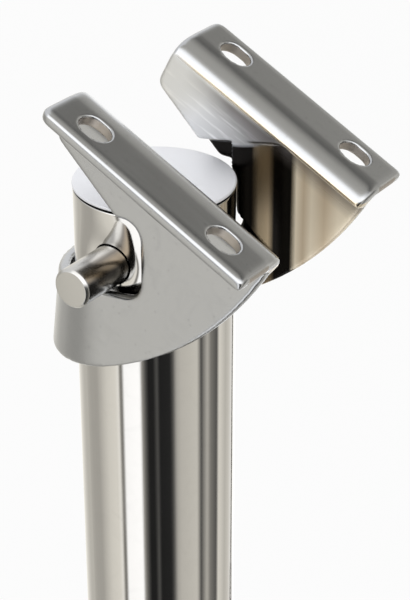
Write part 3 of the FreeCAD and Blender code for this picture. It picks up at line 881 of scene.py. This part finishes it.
@dataclass
class CastSaddle:
    """A cast saddle: its solid with the soft edges of a polished casting.

    Sizes are in millimetres. A pair is the range over which a change comes in.
    """

    stile: Stile
    cell: float = 0.38
    passes: int = 9
    give: float = 0.5
    length: float = 49.2
    half_width: float = 28.9
    corner: float = 2.2
    thick: float = 2.7
    roll_width: float = 2.2
    roll_drop: float = 0.28
    slot_pitch: float = 31.4
    slot_row: float = 23.2
    slot_radius: float = 2.75
    slot_straight: float = 0.65
    slot_margin: float = 1.5
    slot_give: float = 0.22
    slot_rim: float = 0.8
    slot_wall: float = 0.5
    slot_sharp: float = 8.0
    brow: float = 2.4
    brow_across: Pair = (18.7, 16.7)
    brow_up: Pair = (15.1, 16.4)
    brow_slope: float = 0.163
    bend_across: Pair = (19.9, 16.4)
    bend_depth: Pair = (1.4, 3.0)
    bend_foot: Pair = (-4.6, -3.2)
    rib_start: Pair = (8.2, 8.8)
    rib_end: Pair = (10.5, 20.0)
    rib_clear: Pair = (8.4, 9.4)
    rib_swing: float = 42.0
    flare: float = 0.18
    flare_down: Pair = (-2.0, -24.0)

    @property
    def middle(self) -> np.ndarray:
        """The middle of the saddle's bolting face, in the row's frame."""
        return np.array([0.0, LAYOUT.stile(self.stile), 0.0])

    def _brow(self, points: np.ndarray) -> np.ndarray:
        """Thicken the walls inwards above the ledge over the cap, beside the notch and at the bends.

        A point at (y, a, s) moves in along Y by b S(y) m, S being the smooth step over a range
        and m the larger of S(s - k a) and the rib's S(a) (1 - S(a)) S(a cos w + s sin w), which
        leaves the stile free to swing by w. Up through the bend's foot this changes smoothly to
        b t(y) S(r), where t is the share of a range and r the distance from the bend's axis,
        which turns the bend's quarter circle into a quarter ellipse.

        Args:
            points: array of shape (n, 3), in metres in the row's frame.

        Returns:
            The moved points.
        """
        y, z = (points / MM - self.middle).T[1:]
        front, _, up = LAYOUT.from_row(points).T
        across = np.abs(y)
        swing = math.radians(self.rib_swing)
        rib = step(front, self.rib_start) * (1 - step(front, self.rib_end))
        rib *= step(front * math.cos(swing) + up * math.sin(swing), self.rib_clear)
        over_cap = step(up - self.brow_slope * front, self.brow_up)
        ledge = step(across, self.brow_across) * np.maximum(over_cap, rib)
        centre, reach = self.bend_across[0], self.bend_across[0] - self.bend_across[1]
        depth = np.hypot(np.clip(centre - across, 0, None), np.clip(z + reach, 0, None))
        bend = share(across, self.bend_across) * step(depth, self.bend_depth)
        moves = ledge + (bend - ledge) * step(z, self.bend_foot)
        moved = points.copy()
        moved[:, 1] -= np.sign(y) * self.brow * moves * MM
        return moved

    def _flare(self, points: np.ndarray) -> np.ndarray:
        """Widen the back of the collar towards its foot.

        Behind the stile's axis a point at (a, s) goes to (a (1 + k t), s), where t is the share
        of the way down that s has gone.

        Args:
            points: array of shape (n, 3), in metres in the row's frame.

        Returns:
            The moved points.
        """
        front, _, up = LAYOUT.from_row(points).T
        push = self.flare * share(up, self.flare_down) * np.minimum(front, 0)
        return points + (push * MM)[:, None] * LAYOUT.axes[0]

    def _past_slot(self, local: np.ndarray) -> np.ndarray:
        """Distance from the nearest slot's wall: the length of (|x - cx| - b, |y| - cy) less the radius."""
        along = np.abs(np.abs(local[:, 0]) - self.slot_pitch / 2) - self.slot_straight
        return np.hypot(np.clip(along, 0, None), np.abs(local[:, 1]) - self.slot_row) - self.slot_radius

    def _relax(self, points: np.ndarray, edges: np.ndarray) -> np.ndarray:
        """Move each point half way to the mean of its neighbours, again and again, and less beside a slot.

        Args:
            points: array of shape (n, 3).
            edges: array of shape (m, 2) of point numbers.

        Returns:
            The relaxed points.
        """
        ends, others = np.concatenate([edges, edges[:, ::-1]]).T
        degree = np.bincount(ends, minlength=len(points))[:, None]
        local = points / MM - self.middle
        beside = (self._past_slot(local) < self.slot_margin) & (local[:, 2] > -self.thick - 1.0)
        give = np.where(beside, self.slot_give, self.give)[:, None]
        for _ in range(self.passes):
            total = np.stack([np.bincount(ends, points[others, k], len(points)) for k in range(3)], axis=1)
            points = points + give * (total / degree - points)
        return points

    def _roll(self, points: np.ndarray) -> np.ndarray:
        """Let the flanges' top fall away towards their outline, as polishing leaves it.

        A point at a distance d inside the outline drops by h (1 - d / w)^2 within the width w,
        and the drop fades to nothing at half the flange's thickness.

        Args:
            points: array of shape (n, 3), in metres in the row's frame.

        Returns:
            The lowered points.
        """
        local = points / MM - self.middle
        along = self.length / 2 - np.abs(local[:, 0])
        out = self.half_width - np.abs(local[:, 1])
        turned = (along < self.corner) & (out < self.corner)
        round_in = self.corner - np.hypot(self.corner - along, self.corner - out)
        inside = np.where(turned, round_in, np.minimum(along, out))
        drop = share(inside, (self.roll_width, 0)) ** 2 * share(local[:, 2], (-self.thick / 2, 0))
        return points - self.roll_drop * MM * drop[:, None] * np.array([0.0, 0.0, 1.0])

    def _trim_slots(self, points: np.ndarray) -> np.ndarray:
        """Give the slots straight walls and a crisp rim, which the relaxing has rounded.

        In the plane of (distance from the slot's wall, depth), a rim point stands at v from
        (c, c). It moves along v to the length c / (|v1|^n + |v2|^n)^(1/n), v being of unit
        length, which is a square corner with a small rounding. Wall points move onto the wall.

        Args:
            points: array of shape (n, 3), in metres in the row's frame.

        Returns:
            The moved points.
        """
        local = points / MM - self.middle
        past, depth = self._past_slot(local), -local[:, 2]
        along = np.abs(local[:, 0]) - self.slot_pitch / 2
        away = np.stack([
            np.sign(local[:, 0] * along) * np.clip(np.abs(along) - self.slot_straight, 0, None),
            np.sign(local[:, 1]) * (np.abs(local[:, 1]) - self.slot_row),
        ], axis=1)
        away /= np.maximum(np.linalg.norm(away, axis=1), 1e-9)[:, None]
        rim = (past > -self.slot_wall) & (past < self.slot_rim) & (depth < self.slot_rim)
        deep = (depth >= self.slot_rim) & (depth < self.thick - self.slot_rim)
        wall = (np.abs(past) < self.slot_wall) & deep
        corner = np.clip(np.stack([self.slot_rim - past, self.slot_rim - depth], axis=1), 1e-6, None)
        unit = corner / np.linalg.norm(corner, axis=1)[:, None]
        length = self.slot_rim / (unit ** self.slot_sharp).sum(axis=1) ** (1 / self.slot_sharp)
        squared = self.slot_rim - unit * length[:, None]
        to_past = np.where(rim, squared[:, 0], np.where(wall, 0.0, past))
        local[:, :2] += away * (to_past - past)[:, None]
        local[:, 2] = -np.where(rim, squared[:, 1], depth)
        return (local + self.middle) * MM

    def build(self, finishes: Finishes) -> None:
        """Re-skin a copy of the solid on an even grid, relax it, roll its flanges' edges and trim its slots.

        Args:
            finishes: the materials.
        """
        node = f"saddle_{self.stile.hand}"
        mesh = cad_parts[node].data.copy()
        shell = bmesh.new()
        shell.from_mesh(mesh)
        bmesh.ops.remove_doubles(shell, verts=shell.verts, dist=1e-6)
        shell.to_mesh(mesh)
        shell.free()
        mesh.name = f"cast_{node}"
        piece = linked(f"cast_{node}", mesh)
        skin = piece.modifiers.new("even_skin", "REMESH")
        skin.mode = "VOXEL"
        skin.voxel_size = self.cell * MM * 1.0
        solid = evaluated(piece)
        edges = np.empty(len(solid.edges) * 2, np.int32)
        solid.edges.foreach_get("vertices", edges)
        points = self._relax(read_points(solid), edges.reshape(-1, 2))
        solid.polygons.foreach_set("use_smooth", np.ones(len(solid.polygons), bool))
        write_points(solid, self._flare(self._brow(self._trim_slots(self._roll(points)))))
        fit_on(piece, "mounting", "cast_stainless", finishes.cast, node)


@dataclass
class PivotPin:
    """The cross pin: a shank with chamfered ends. Sizes in millimetres."""

    stile: Stile
    radius: float = 4.0
    half: float = 27.4
    chamfer: float = 0.5

    def build(self, finishes: Finishes) -> None:
        """Revolve the shank about the pin's axis.

        Args:
            finishes: the materials.
        """
        face = self.radius - self.chamfer
        corners = [
            (0, -self.half, 0), (face, -self.half, 0.15), (self.radius, self.chamfer - self.half, 0.2),
            (self.radius, self.half - self.chamfer, 0.2), (face, self.half, 0.15), (0, self.half, 0),
        ]
        placed, faces = revolved_across(rounded(corners, 4, False), 96, self.stile)
        piece = smooth_object(f"turned_pin_{self.stile.hand}", placed, faces)
        fit_on(piece, "upper", "turned_pin", finishes.pin, f"pivot_pin_{self.stile.hand}")


@dataclass
class StileSet:
    """The tubes of one stile with its cap, bushes, rings and foot. Sizes in millimetres."""

    stile: Stile
    radii: Triple = (16.0, 12.5, 9.5)
    walls: Triple = (1.5, 1.2, 1.2)
    heads: Triple = (11.5, -260.7, -521.4)
    ends: Triple = (-300.0, -560.7, -821.4)
    bodies: tuple[str, str, str] = ("upper", "middle", "lower")
    fit: float = 0.02
    play: float = 0.3
    tube_broken: Pair = (0.25, 0.35)
    cap_corners: tuple[Triple, ...] = (
        (0, 6.0, 0), (14.47, 6.0, 0.5), (14.47, 11.95, 0),
        (16.1, 11.95, 0.1), (16.15, 12.6, 0.35), (0, 12.6, 0),
    )
    bush_lip: float = 3.0
    bush_flange: float = 0.8
    bush_plug: float = 25.0
    ring_length: float = 15.0
    foot_wall: float = 2.6
    foot_sole: float = 5.0
    foot_sleeve: float = 18.0
    pin_hole: float = 4.3
    dish: float = 1.2
    dish_width: float = 7.2
    dish_reach: float = 11.1

    def _turn(self, name: str, node: str, body: str, slot: str, material: Material, corners: list[Triple],
              loop: bool = True, segments: int = 144) -> Piece:
        """Revolve rounded corners about the stile's axis and dress the result.

        Args:
            name: name of the piece, without its hand.
            node: name of the node that it stands for, without its hand.
            body: the moving body that it rides on.
            slot: the name of a material slot, passed on to fit_on.
            material: its material.
            corners: (radius, height up the stile, rounding) of each corner.
            loop: whether the corners close on themselves; if not, they start and end on the axis.
            segments: number of steps round the axis.

        Returns:
            The piece.
        """
        points, faces = revolved(rounded(corners, 5, loop), segments, loop)
        placed = LAYOUT.to_row(points, LAYOUT.stile(self.stile))
        piece = smooth_object(f"{name}_{self.stile.hand}", placed, faces)
        fit_on(piece, body, slot, material, f"{node}_{self.stile.hand}")
        return piece

    def tube(self, level: int, finishes: Finishes) -> None:
        """One tube, with its ends just broken."""
        radius, wall = self.radii[level], self.walls[level]
        head, end, body = self.heads[level], self.ends[level], self.bodies[level]
        bore, (inner, outer) = radius - wall, self.tube_broken
        corners = [(bore, end, inner), (radius, end, outer), (radius, head, outer), (bore, head, inner)]
        if level == 0:
            heights = np.linspace(-self.dish_reach, self.dish_reach, 38)
            rings = [(radius, float(height), 0) for height in heights]
            corners = corners[:2] + rings + corners[2:] + [(bore, 8.0, 0), (bore, -8.0, 0)]
        name, node = f"polished_{body}_tube", f"{body}_tube"
        piece = self._turn(name, node, body, "polished_tube", finishes.tube, corners, segments=192)
        if level == 0:
            self._press(piece)
            self._bore(piece)

    def _press(self, piece: Piece) -> None:
        """Press a tube's outer face in round the pin.

        At a distance r from the pin's axis the face moves in along Y by d (1 - t)^2, where
        t = (r - hole) / width, kept between 0 and 1.

        Args:
            piece: the upper tube.
        """
        points = read_points(piece.data)
        front, side, up = LAYOUT.from_row(points, LAYOUT.stile(self.stile)).T
        outer = np.hypot(front, side) > self.radii[0] - 0.1
        depth = self.dish * share(np.hypot(front, up), (self.pin_hole + self.dish_width, self.pin_hole)) ** 2
        points[:, 1] -= np.where(outer, np.sign(side) * depth * MM, 0.0)
        write_points(piece.data, points)

    def _bore(self, piece: Piece) -> None:
        """Cut the pin's hole through a tube, a little wider than the pin, so that a dark seam shows."""
        reach = self.radii[0] + 2.0
        profile = np.array([(0, -reach), (self.pin_hole, -reach), (self.pin_hole, reach), (0, reach)])
        drill = smooth_object("drill", *revolved_across(profile, 64, self.stile))
        cut = piece.modifiers.new("pin_hole", "BOOLEAN")
        cut.operation = "DIFFERENCE"
        cut.solver = "EXACT"
        cut.object = drill
        evaluated(piece).set_sharp_from_angle(angle=math.radians(35))
        bpy.data.objects.remove(drill)

    def cap(self, finishes: Finishes) -> None:
        """The flat cap and its spigot."""
        corners = list(self.cap_corners)
        self._turn("satin_cap", "head_cap", "upper", "cap_steel", finishes.cap, corners, False, 192)

    def bush(self, level: int, finishes: Finishes) -> None:
        """The guide bush in a tube's mouth."""
        radius, end, body = self.radii[level], self.ends[level], self.bodies[level]
        hole = self.radii[level + 1] + self.play
        plug, flange = radius - self.walls[level] - self.fit, radius + self.bush_flange
        lip, top = end - self.bush_lip, end + self.bush_plug
        corners = [
            (hole, lip, 0.5), (flange, lip, 0.9), (flange, end, 0.4),
            (plug, end, 0), (plug, top, 0.4), (hole, top, 0.4),
        ]
        name, node = f"nylon_{body}_bush", f"{body}_guide_bush"
        self._turn(name, node, body, "guide_nylon", finishes.bush, corners)

    def ring(self, level: int, finishes: Finishes) -> None:
        """The slide ring on a tube's head."""
        radius, body = self.radii[level], self.bodies[level]
        inner, lip = radius + self.fit, radius - self.walls[level]
        outer = self.radii[level - 1] - self.walls[level - 1] - self.play
        under = self.heads[level]
        head = under + 1.0
        foot = head - self.ring_length
        corners = [
            (inner, foot, 0.2), (outer, foot, 0.4), (outer, under, 0.5), (outer - 1.0, head, 0.4),
            (lip, head, 0.3), (lip, under, 0), (inner, under, 0),
        ]
        name, node = f"nylon_{body}_ring", f"{body}_slide_ring"
        self._turn(name, node, body, "ring_nylon", finishes.ring, corners)

    def foot(self, finishes: Finishes) -> None:
        """The rubber foot, with a rolled top edge."""
        end, inner, outer = self.ends[2], self.radii[2] + self.fit, self.radii[2] + self.foot_wall
        sole, top = end - self.foot_sole, end + self.foot_sleeve
        corners = [
            (0, sole, 0), (outer, sole, 1.6), (outer, top, 0.9),
            (inner, top, 0.5), (inner, end, 0), (0, end, 0),
        ]
        self._turn("rubber_foot", "foot", "lower", "foot_rubber", finishes.foot, corners, False)

    def build(self, finishes: Finishes) -> None:
        """Build every piece of the stile.

        Args:
            finishes: the materials.
        """
        for level in range(3):
            self.tube(level, finishes)
        self.cap(finishes)
        for level in (0, 1):
            self.bush(level, finishes)
            self.ring(level + 1, finishes)
        self.foot(finishes)


@dataclass
class Tread:
    """A folded tread with its ribbed pad and its weld beads. Sizes in millimetres."""

    body: str
    radius: float
    mouth: float
    depth: float = 50.0
    skirt: float = 20.0
    sheet: float = 1.6
    bend: float = 4.0
    rise: float = 8.0
    gap: float = 0.04
    pad_depth: float = 40.0
    pad_base: float = 2.0
    pad_edge: float = 0.7
    pad_end_gap: float = 9.0
    pad_end_drop: float = 0.5
    rib: float = 1.2
    rib_width: float = 2.0
    rib_pitch: float = 4.5
    ribs: int = 9
    bead: float = 1.1
    ripple: float = 0.10
    ripple_length: float = 0.55

    @property
    def foot(self) -> float:
        """Height of the skirts' feet up the stile."""
        return self.mouth + self.rise

    @property
    def top(self) -> float:
        """Height of the tread's top up the stile."""
        return self.foot + self.skirt

    @property
    def cope(self) -> float:
        """Radius of the copes in the sheet's ends."""
        return self.radius + self.gap

    def _skin(self, inset: float) -> np.ndarray:
        """One skin of the channel's section, from one foot over the top to the other.

        Args:
            inset: distance of the skin inside the outer one.

        Returns:
            Array of shape (n, 2) of distance from the stiles' plane and height.
        """
        half, radius, top = self.depth / 2 - inset, self.bend - inset, self.top - inset
        turn = math.pi / 2 * np.linspace(0, 1, 11)[:-1]
        side = np.linspace(self.foot, top - radius, 4)[:-1]
        edge = np.concatenate([
            np.stack([np.full(3, -half), side], axis=1),
            np.stack([radius - half - radius * np.cos(turn), top - radius + radius * np.sin(turn)], axis=1),
        ])
        flat = np.concatenate([
            np.linspace(radius - half, -self.cope, 4)[:-1],
            -self.cope * np.cos(np.linspace(0, math.pi, 33)),
            np.linspace(self.cope, half - radius, 4)[1:],
        ])
        return np.concatenate([edge, np.stack([flat, np.full(len(flat), top)], axis=1), edge[::-1] * [-1, 1]])

    def channel(self, finishes: Finishes) -> None:
        """The folded sheet: both skins carried along Y to the copes and joined at the ends.

        At a distance a from the stiles' plane its half length is half the pitch less
        sqrt(cope^2 - a^2) inside the cope, and half the pitch outside.
        """
        outer, inner = self._skin(0.0), self._skin(self.sheet)
        loop = np.concatenate([outer, inner[::-1]])
        reach = LAYOUT.pitch / 2 - np.sqrt(np.clip(self.cope ** 2 - loop[:, 0] ** 2, 0, None))
        along = np.linspace(-1, 1, 9)
        rings = np.broadcast_arrays(loop[:, 0], along[:, None] * reach, loop[:, 1])
        points, faces = carried(np.stack(rings, axis=-1), capped=False)
        k = np.arange(len(outer) - 1)
        twin, last = len(loop) - 1 - k, len(points) - len(loop)
        faces += np.stack([k, twin, twin - 1, k + 1], axis=1).tolist()
        faces += (last + np.stack([k, k + 1, twin - 1, twin], axis=1)).tolist()
        piece = smooth_object(f"folded_{self.body}_tread", LAYOUT.to_row(points), faces, 30)
        fit_on(piece, self.body, "tread_steel", finishes.tread, f"{self.body}_tread")

    def pad(self, finishes: Finishes) -> None:
        """The pad: its section, with a rounded crest to each rib, carried along Y."""
        half, low = self.pad_depth / 2, self.top + self.pad_base
        high = low + self.rib
        corners = [(-half, self.top, 0.0), (-half, low, self.pad_edge)]
        rib = [(-0.5, low, 0.15), (-0.25, high, 0.3), (0.25, high, 0.3), (0.5, low, 0.15)]
        for index in range(self.ribs):
            at = (index - (self.ribs - 1) / 2) * self.rib_pitch
            corners += [(at + place * self.rib_width, height, radius) for place, height, radius in rib]
        corners += [(half, low, self.pad_edge), (half, self.top, 0.0)]
        loop = rounded(corners, 3)
        drop = self.pad_end_drop
        reach = LAYOUT.pitch / 2 - self.radius - self.pad_end_gap
        along = np.array([-reach, drop - reach, 0, reach - drop, reach])
        drops = np.array([drop, 0, 0, 0, drop])
        height = np.maximum(loop[:, 1] - drops[:, None], self.top)
        rings = np.broadcast_arrays(loop[:, 0], along[:, None], height)
        points, faces = carried(np.stack(rings, axis=-1))
        piece = smooth_object(f"ribbed_{self.body}_pad", LAYOUT.to_row(points), faces, 40)
        fit_on(piece, self.body, "tread_rubber", finishes.pad, f"{self.body}_tread_pad")

    def welds(self, finishes: Finishes) -> None:
        """A rippled bead along each cope: a circle of radius b (1 + ripple) carried along the arc."""
        sweep = np.linspace(-math.pi / 2, math.pi / 2, 121)[:, None]
        turn = np.linspace(0, 2 * math.pi, 12, endpoint=False)
        bead = self.bead * (1 + self.ripple * np.sin(sweep * self.cope / self.ripple_length))
        bead *= np.clip(1.02 - np.abs(sweep / (math.pi / 2)) ** 12, 0.25, 1)
        ring = self.cope + 0.2 + bead * np.cos(turn)
        rise = self.top + 0.1 + bead * np.sin(turn)
        for stile in Stile:
            side = LAYOUT.stile(stile) - stile.value * ring * np.cos(sweep)
            points, faces = carried(np.stack([ring * np.sin(sweep), side, rise], axis=-1))
            piece = smooth_object(f"weld_{self.body}_{stile.hand}", LAYOUT.to_row(points), faces, 60)
            fit_on(piece, self.body, "tread_steel", finishes.weld)

    def build(self, finishes: Finishes) -> None:
        """Build the channel, the pad and the welds.

        Args:
            finishes: the materials.
        """
        self.channel(finishes)
        self.pad(finishes)
        self.welds(finishes)


# Studio

@dataclass(frozen=True)
class Studio:
    """The camera, the pale floor, the soft lamp and the bands of the studio round the stile.

    A band is (azimuth about the stile's axis in degrees, level), where azimuth 0 points along
    the stile's front and 90 along Y. High up, facing and beyond give (height along the stile,
    level) for rays to the front and for all others, and flank is the level of one side. The
    levels between two stops are blended. Plain is the level that lights dull pieces.
    """

    focal_px: float = 1859.44
    height_px: float = 600.0
    place: Triple = (91.28, -404.95, 202.3)
    right: Triple = (0.7336, 0.55729, 0.38893)
    up: Triple = (-0.64391, 0.38701, 0.66)
    back: Triple = (0.21729, -0.73461, 0.64275)
    bands: Levels = (
        (-180.0, 0.58), (-169.5, 0.51), (-154.4, 0.51), (-141.5, 0.73), (-133.0, 0.87), (-119.0, 0.96),
        (-114.0, 1.10), (-110.5, 0.27), (-108.0, 0.27), (-104.0, 1.42), (-80.5, 1.50), (-77.0, 0.39),
        (-72.5, 0.13), (-68.0, 0.02), (-60.0, 0.02), (-55.3, 0.11), (-51.5, 0.02), (-36.0, 0.025),
        (-31.5, 0.12), (-26.0, 0.56), (-20.0, 0.67), (6.0, 0.77), (13.0, 0.08), (24.5, 0.60), (31.0, 0.27),
        (44.0, 0.11), (49.5, 0.95), (66.0, 0.65), (77.0, 0.76), (110.8, 1.45), (136.0, 1.05), (168.0, 0.64),
    )
    facing: Levels = (
        (0.0, 2.20), (0.45, 2.20), (0.62, 2.10), (0.80, 1.90),
        (0.87, 1.25), (0.92, 0.72), (0.97, 0.60), (1.0, 0.60),
    )
    beyond: Levels = (
        (0.0, 0.70), (0.30, 0.55), (0.50, 0.58), (0.60, 0.44), (0.66, 0.235), (0.71, 0.23),
        (0.755, 0.21), (0.78, 0.10), (0.80, 0.10), (0.825, 0.34), (0.90, 0.48), (0.95, 0.60), (1.0, 0.60),
    )
    flank: float = 1.05
    plain: float = 0.75
    warm: Triple = (1.0, 0.965, 0.88)
    warm_in: Pair = (0.0, 0.2)
    warm_out: Pair = (1.35, 1.0)
    floor_half: float = 4.0

    def camera(self) -> None:
        """Set the camera at the photograph's place, with axes right, up and back."""
        lens = bpy.data.cameras.new("camera")
        lens.sensor_width = 36.0
        lens.lens = self.focal_px / self.height_px * lens.sensor_width
        lens.clip_start = 0.01
        view = linked("camera", lens)
        rows = Matrix((self.right, self.up, self.back)).transposed().to_4x4()
        view.matrix_world = Matrix.Translation(Vector(self.place) * MM) @ rows
        bpy.context.scene.camera = view

    def floor(self) -> None:
        """A wide pale floor under the ladder, clear to metal and white to the camera, with its soft shadow."""
        low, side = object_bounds()[0][2] - 0.002, self.floor_half
        corners = [(-side, -side, low), (side, -side, low), (side, side, low), (-side, side, low)]
        mesh = bpy.data.meshes.new("floor")
        mesh.from_pydata(corners, [], [[0, 1, 2, 3]])
        floor = linked("floor", mesh)
        material, wiring, shader = new_material("pale_floor")
        pale = {"Base Color": (0.86, 0.86, 0.86, 1), "Roughness": 0.9, "Specular IOR Level": 0.0}
        wiring.feed(shader, pale)
        path = wiring.node("LightPath", {}).outputs
        glow = wiring.node("Emission", {"Strength": 1.0}).outputs[0]
        clear = wiring.node("BsdfTransparent", {}).outputs[0]
        white = wiring.choice(wiring.maths("MULTIPLY", path["Is Camera Ray"], 0.9), shader.outputs[0], glow)
        surface = wiring.choice(path["Is Glossy Ray"], white, clear)
        wiring.feed(material.node_tree.nodes["Material Output"], {"Surface": surface})
        mesh.materials.append(material)
        floor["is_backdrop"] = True

    def _ramp(self, wiring: Wiring, source: Socket, levels: Levels, ends: Pair = (0.0, 1.0)) -> Socket:
        """Turn a value into a level's colour, a little warm where it is neither dark nor bright.

        Args:
            wiring: the world's nodes.
            source: the value.
            levels: (value, level) of each stop.
            ends: the smallest and the largest value.

        Returns:
            The colour's socket.
        """
        places, shades = np.array(levels).T
        warmth = share(shades, self.warm_in) * share(shades, self.warm_out)
        colours = shades[:, None] * (1 - (1 - np.array(self.warm)) * warmth[:, None])
        stops = list(zip(share(places, ends).tolist(), colours.tolist()))
        return wiring.ramp(wiring.spread(source, *ends), stops)

    def _mirrored(self, wiring: Wiring) -> Socket:
        """What a ray mirrored by metal meets: the bands, and higher up the lights above them.

        Args:
            wiring: the world's nodes.

        Returns:
            The colour's socket.
        """
        ray = wiring.node("TexCoord", {}).outputs["Generated"]
        front, side, height = (wiring.along(ray, axis) for axis in LAYOUT.axes)
        azimuth = wiring.maths("DEGREES", wiring.maths("ARCTAN2", side, front))
        around = self._ramp(wiring, azimuth, self.bands, (-180.0, 180.0))
        facing = wiring.spread(azimuth, -25.0, 35.0, 1.0, 0.0)
        sky = wiring.blend(
            facing, self._ramp(wiring, height, self.beyond), self._ramp(wiring, height, self.facing))
        left, back = wiring.spread(azimuth, 98.0, 118.0), wiring.spread(azimuth, -140.0, -125.0, 1.0, 0.0)
        sky = wiring.blend(wiring.maths("MAXIMUM", left, back), sky, (self.flank,) * 3)
        return wiring.blend(wiring.spread(height, 0.05, 0.30), around, sky)

    def world(self) -> None:
        """Light the object evenly and show metal the studio's bands, which run along the stile."""
        world = bpy.data.worlds.new("studio")
        bpy.context.scene.world = world
        world.use_nodes = True
        world.node_tree.nodes.clear()
        wiring = Wiring(world.node_tree)
        path = wiring.node("LightPath", {}).outputs
        strength = wiring.spread(path["Is Camera Ray"], 0.0, 1.0, self.plain, 1.0)
        plain = wiring.node("Background", {"Color": (1, 1, 1, 1), "Strength": strength}).outputs[0]
        mirror = wiring.node("Background", {"Color": self._mirrored(wiring)}).outputs[0]
        wiring.node("OutputWorld", {"Surface": wiring.choice(path["Is Glossy Ray"], plain, mirror)})

    def lamp(self) -> None:
        """One broad soft lamp from above, for the shadow on the floor."""
        data = bpy.data.lights.new("soft_lamp", "AREA")
        data.shape = "SQUARE"
        data.size = 1.2
        data.energy = 9.0
        lamp = linked("soft_lamp", data)
        lamp.location = (-0.9, -0.8, 1.6)
        lamp.visible_glossy = False
        aim = Vector((0.15, 0.0, -0.4)) - lamp.location
        lamp.rotation_euler = aim.to_track_quat("-Z", "Y").to_euler()

    def build(self) -> None:
        """Set up the camera, the floor, the world and the lamp."""
        self.camera()
        self.floor()
        self.world()
        self.lamp()
        bpy.context.scene.view_settings.view_transform = "Standard"


def main() -> None:
    """Build the ladder's pieces in order, then the studio round them."""
    logging.basicConfig(level=logging.INFO, format="%(message)s")
    finishes = Finishes()
    for stile in Stile:
        CastSaddle(stile).build(finishes)
        PivotPin(stile).build(finishes)
        StileSet(stile).build(finishes)
    for body, radius, mouth in (("upper", 16.0, -300.0), ("middle", 12.5, -560.7), ("lower", 9.5, -803.4)):
        Tread(body, radius, mouth).build(finishes)
    Studio().build()


if __name__ == "__main__":
    main()
